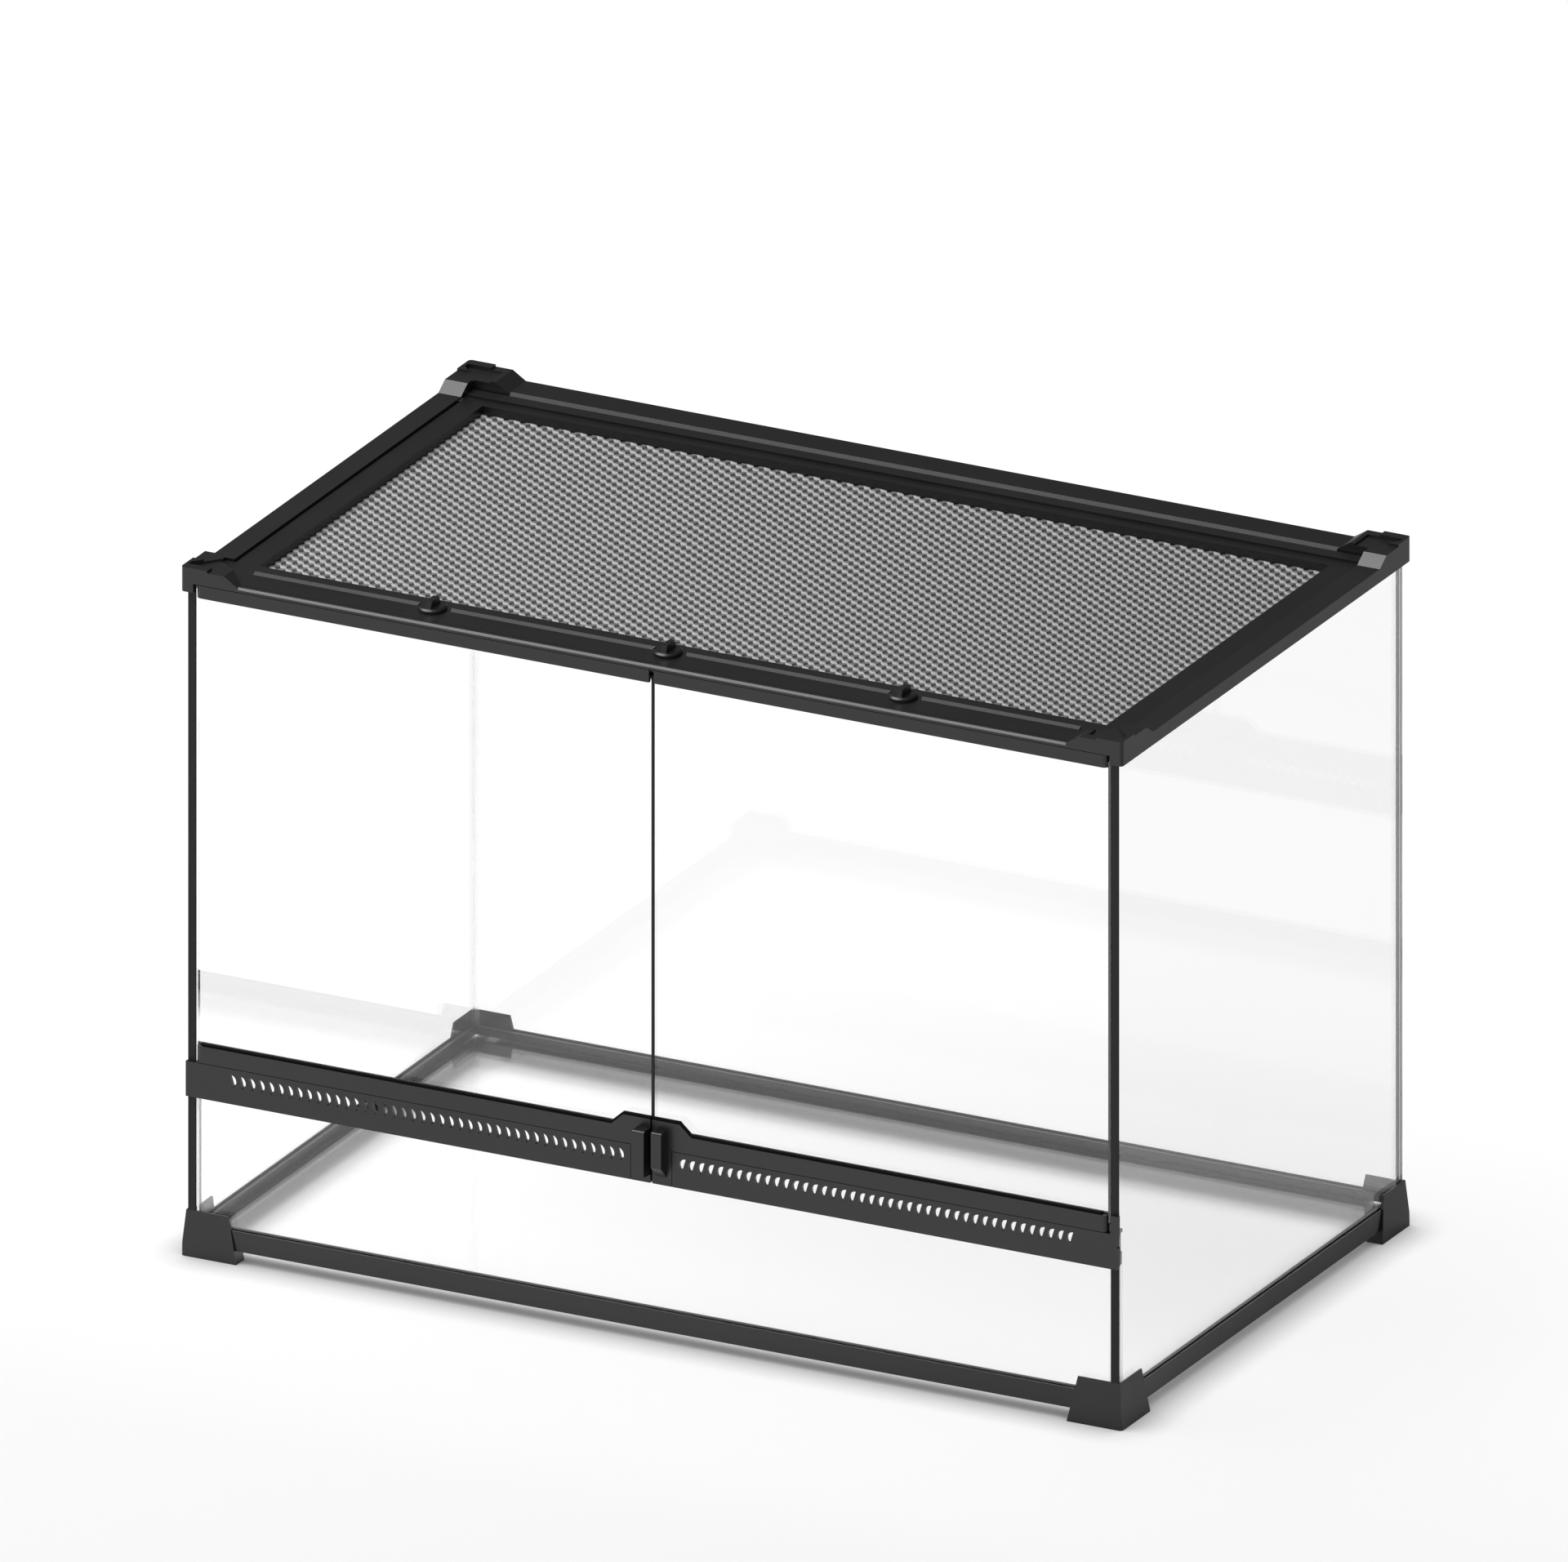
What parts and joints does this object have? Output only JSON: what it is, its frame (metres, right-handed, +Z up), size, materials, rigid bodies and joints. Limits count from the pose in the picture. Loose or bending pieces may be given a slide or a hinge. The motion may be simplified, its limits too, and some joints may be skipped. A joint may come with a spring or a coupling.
{
  "type": "reptile terrarium",
  "caption": "Front-opening glass terrarium with a black moulded frame, hinged glass doors, a slotted air strip and a screened lid with turn locks.",
  "frame": {"origin": "middle of the footprint on the floor", "axes": "+X to the right along the front, -Y out of the doors, +Z up"},
  "size_m": [0.5, 0.3074, 0.35],
  "materials": {
    "frame_black": "semi-gloss moulded plastic",
    "knob_black": "glossy moulded plastic",
    "trim_grey": "extruded dark grey plastic",
    "glass_clear": "clear float glass",
    "silicone_clear": "translucent sealant",
    "mesh_grey": "bare woven or expanded metal",
    "pin_steel": "turned"
  },
  "bodies": {
    "frame": {"foot_front_left": "frame_black", "foot_front_right": "frame_black", "foot_back_left": "frame_black", "foot_back_right": "frame_black", "base_rail_front": "frame_black", "base_rail_back": "frame_black", "base_rail_left": "frame_black", "base_rail_right": "frame_black", "floor_glass": "glass_clear", "side_glass_left": "glass_clear", "side_glass_right": "glass_clear", "back_glass": "glass_clear", "front_glass": "glass_clear", "edge_trim_left": "trim_grey", "edge_trim_right": "trim_grey", "corner_beads": "silicone_clear", "vent_strip": "frame_black", "cap_front_left": "frame_black", "cap_front_right": "frame_black", "cap_back_left": "frame_black", "cap_back_right": "frame_black", "top_rail_front": "frame_black", "top_rail_back": "frame_black", "top_rail_left": "frame_black", "top_rail_right": "frame_black"},
    "door_left": {"door_left_glass": "glass_clear", "door_left_top_rail": "frame_black", "door_left_bottom_rail": "frame_black", "door_left_handle": "frame_black", "door_left_seal": "trim_grey", "door_left_pins": "pin_steel"},
    "door_right": {"door_right_glass": "glass_clear", "door_right_top_rail": "frame_black", "door_right_bottom_rail": "frame_black", "door_right_handle": "frame_black", "door_right_pins": "pin_steel"},
    "lid": {"lid_front": "frame_black", "lid_back": "frame_black", "lid_left": "frame_black", "lid_right": "frame_black", "lid_mesh": "mesh_grey", "mesh_retainers": "trim_grey", "lid_pins": "pin_steel"},
    "knob_left": {"knob_left": "knob_black", "cam_left": "knob_black"},
    "knob_middle": {"knob_middle": "knob_black", "cam_middle": "knob_black"},
    "knob_right": {"knob_right": "knob_black", "cam_right": "knob_black"}
  },
  "joints": [
    {"name": "door_left_hinge", "type": "hinge", "parent": "frame", "child": "door_left", "pos_m": [-0.2392, -0.1433, 0.22], "axis": [0, 0, -1], "range_deg": [0, 105]},
    {"name": "door_right_hinge", "type": "hinge", "parent": "frame", "child": "door_right", "pos_m": [0.2392, -0.1433, 0.22], "axis": [0, 0, 1], "range_deg": [0, 105]},
    {"name": "lid_hinge", "type": "hinge", "parent": "frame", "child": "lid", "pos_m": [0, 0.1322, 0.3416], "axis": [-1, 0, 0], "range_deg": [0, 80]},
    {"name": "lock_left", "type": "hinge", "parent": "lid", "child": "knob_left", "pos_m": [-0.125, -0.1288, 0.3475], "axis": [0, 0, -1], "range_deg": [0, 90]},
    {"name": "lock_middle", "type": "hinge", "parent": "lid", "child": "knob_middle", "pos_m": [0, -0.1288, 0.3475], "axis": [0, 0, -1], "range_deg": [0, 90]},
    {"name": "lock_right", "type": "hinge", "parent": "lid", "child": "knob_right", "pos_m": [0.125, -0.1288, 0.3475], "axis": [0, 0, -1], "range_deg": [0, 90]}
  ]
}
